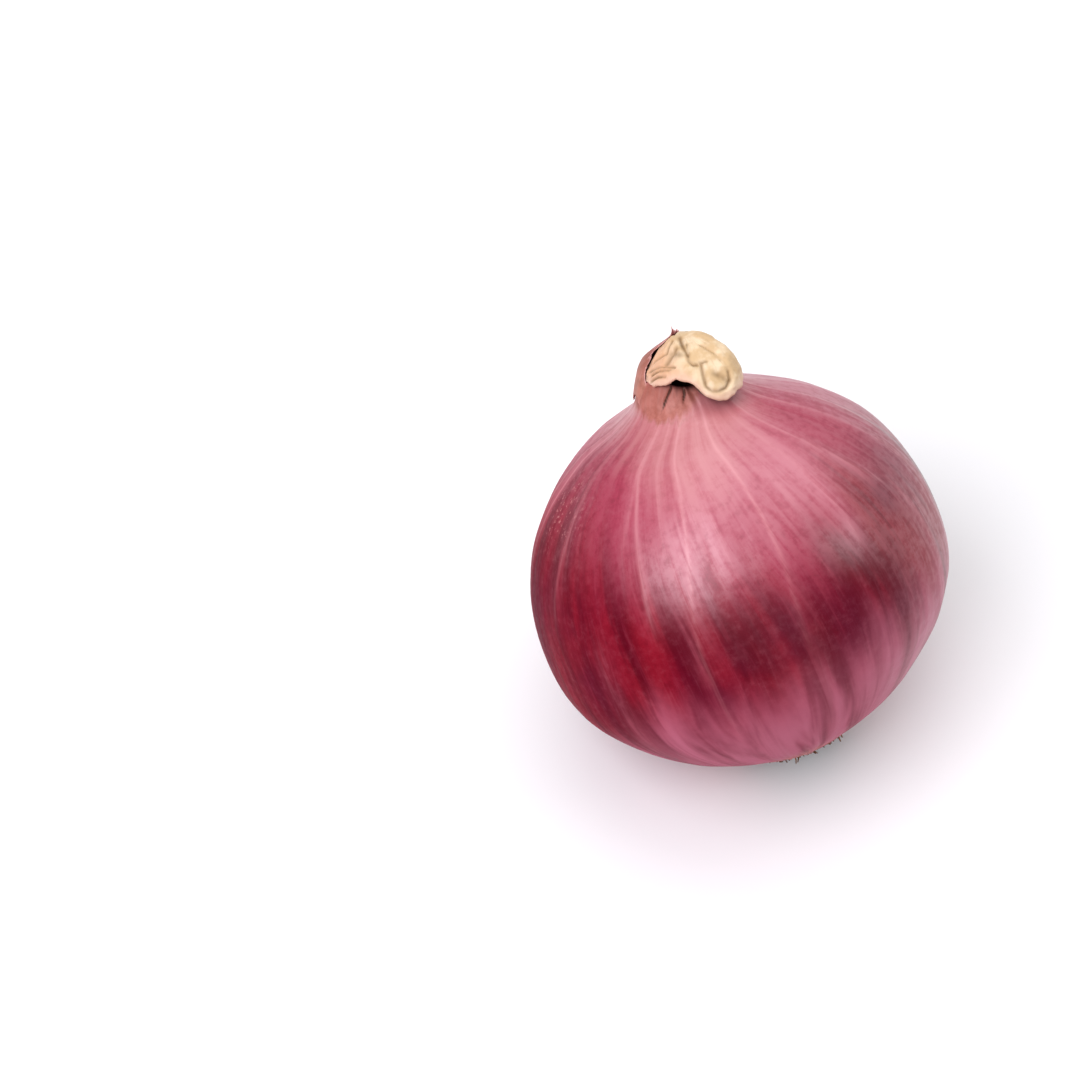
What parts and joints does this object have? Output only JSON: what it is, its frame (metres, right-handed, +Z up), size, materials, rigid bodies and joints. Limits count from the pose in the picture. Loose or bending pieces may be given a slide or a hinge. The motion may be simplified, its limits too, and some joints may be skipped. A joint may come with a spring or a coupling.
{
  "type": "red onion",
  "caption": "Whole red onion lying tilted on a small flat spot, with veined purple-red skin, a dry folded neck and a tuft of short dried roots.",
  "frame": {"origin": "the middle of the flat spot that the onion rests on", "axes": "+Z is up as the onion lies. +X is to the right and +Y away, seen from the front, the side on which the hood of the neck opens. The bulb's own axis leans 34.6 degrees from +Z, toward the back left."},
  "size_m": [0.0716, 0.0709, 0.0716],
  "materials": {
    "red_skin": "thin dry skin with a soft satin sheen, deep crimson purple with paler raised veins",
    "dry_neck": "matt, papery, pale straw with brown creases",
    "dry_roots": "matt, fibrous, straw and brown"
  },
  "bodies": {
    "root": {"bulb": "red_skin", "neck": "dry_neck", "roots": "dry_roots"}
  },
  "joints": []
}
